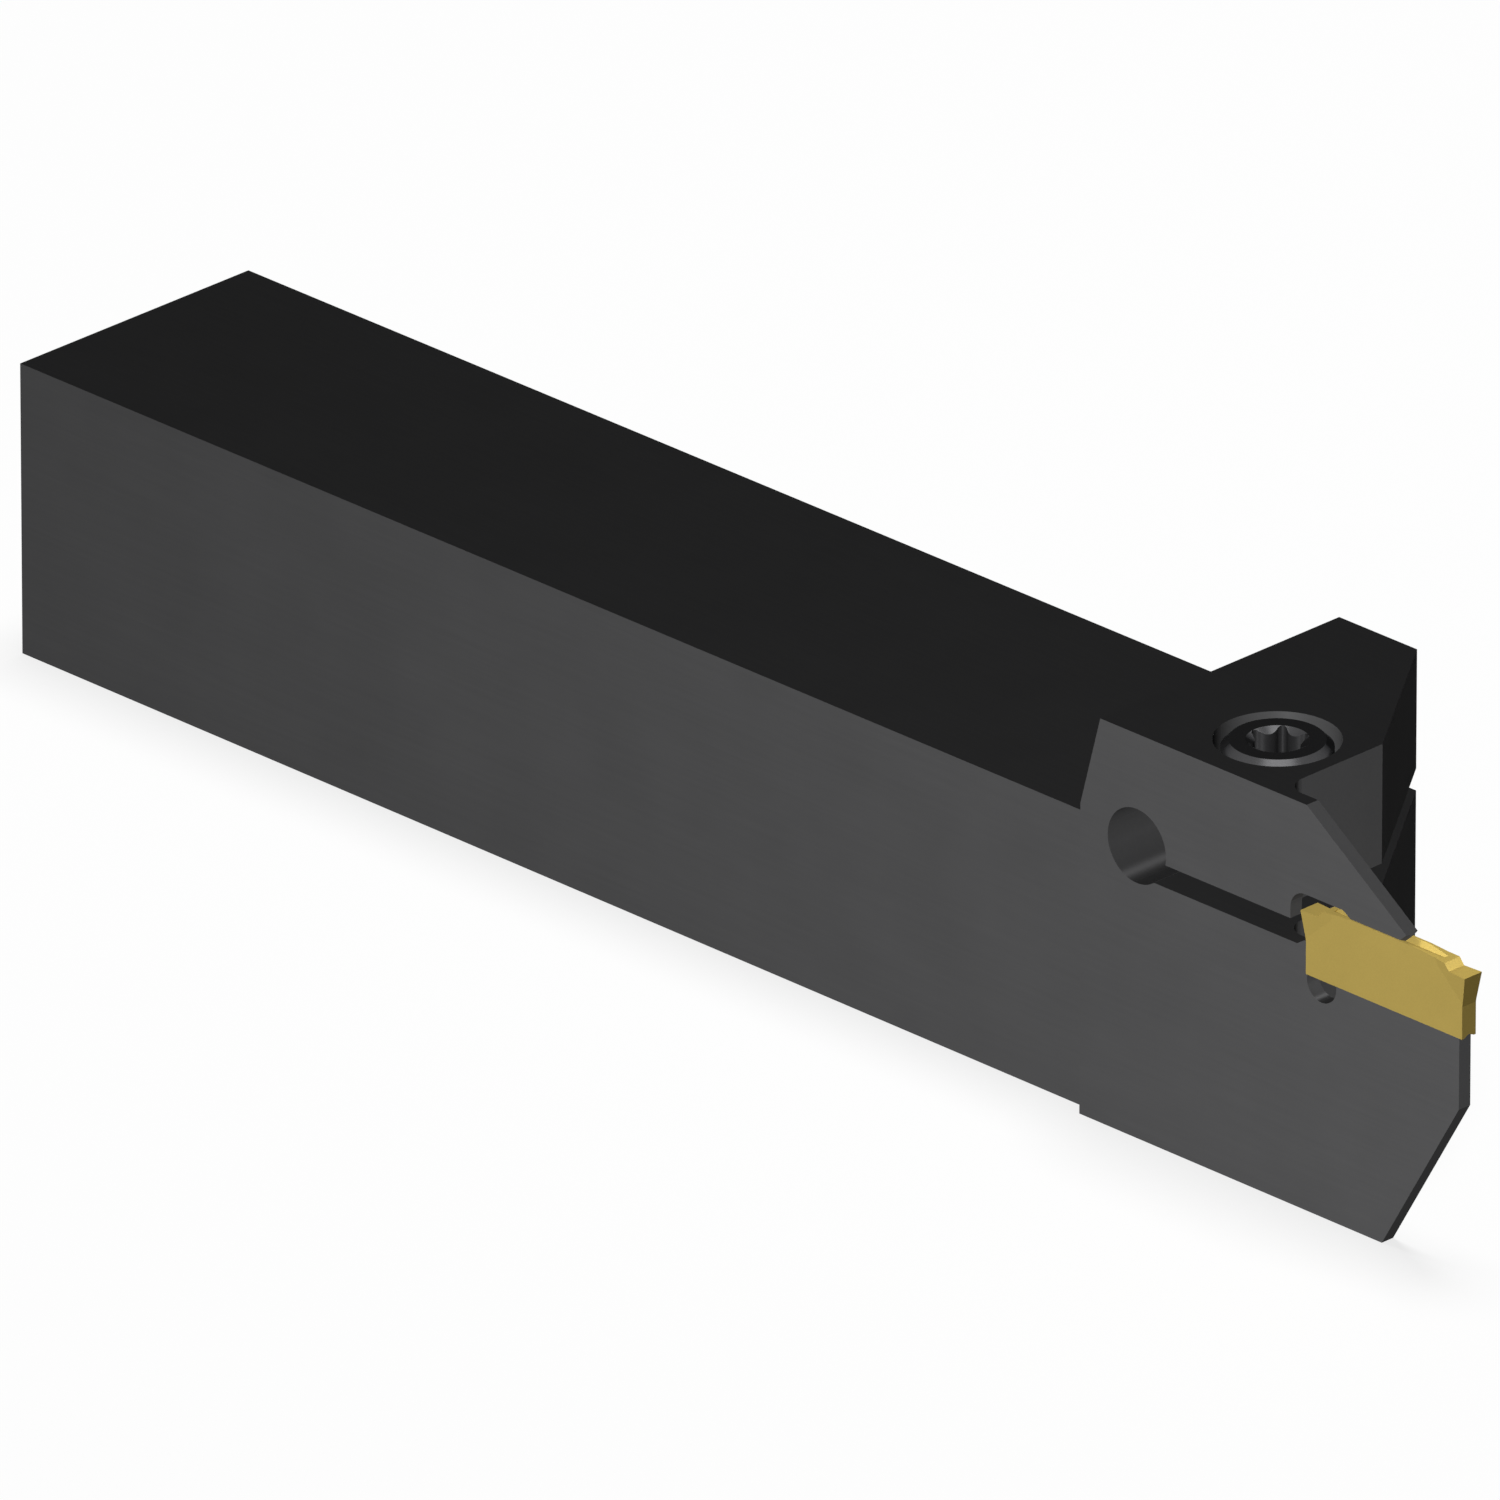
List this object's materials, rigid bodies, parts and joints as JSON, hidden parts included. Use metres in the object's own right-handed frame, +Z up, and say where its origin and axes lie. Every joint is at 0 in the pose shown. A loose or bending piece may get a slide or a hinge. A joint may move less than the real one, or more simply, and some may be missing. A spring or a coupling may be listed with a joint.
{
  "type": "parting tool holder",
  "caption": "Lathe parting tool holder: square shank, raised head, thin blade with a spring jaw, clamp screw and a double-ended insert.",
  "frame": {"origin": "middle of the shank's underside", "axes": "+X along the shank towards the cutting end, +Z up, and the blade along the -Y side"},
  "size_m": [0.1271, 0.0211, 0.0273],
  "materials": {
    "blackened_steel": "blackened, satin",
    "screw_steel": "blackened, satin",
    "coated_carbide": "gold-coloured hard coating, satin"
  },
  "bodies": {
    "root": {"holder_body": "blackened_steel", "clamp_screw": "screw_steel", "parting_insert": "coated_carbide"}
  },
  "joints": []
}
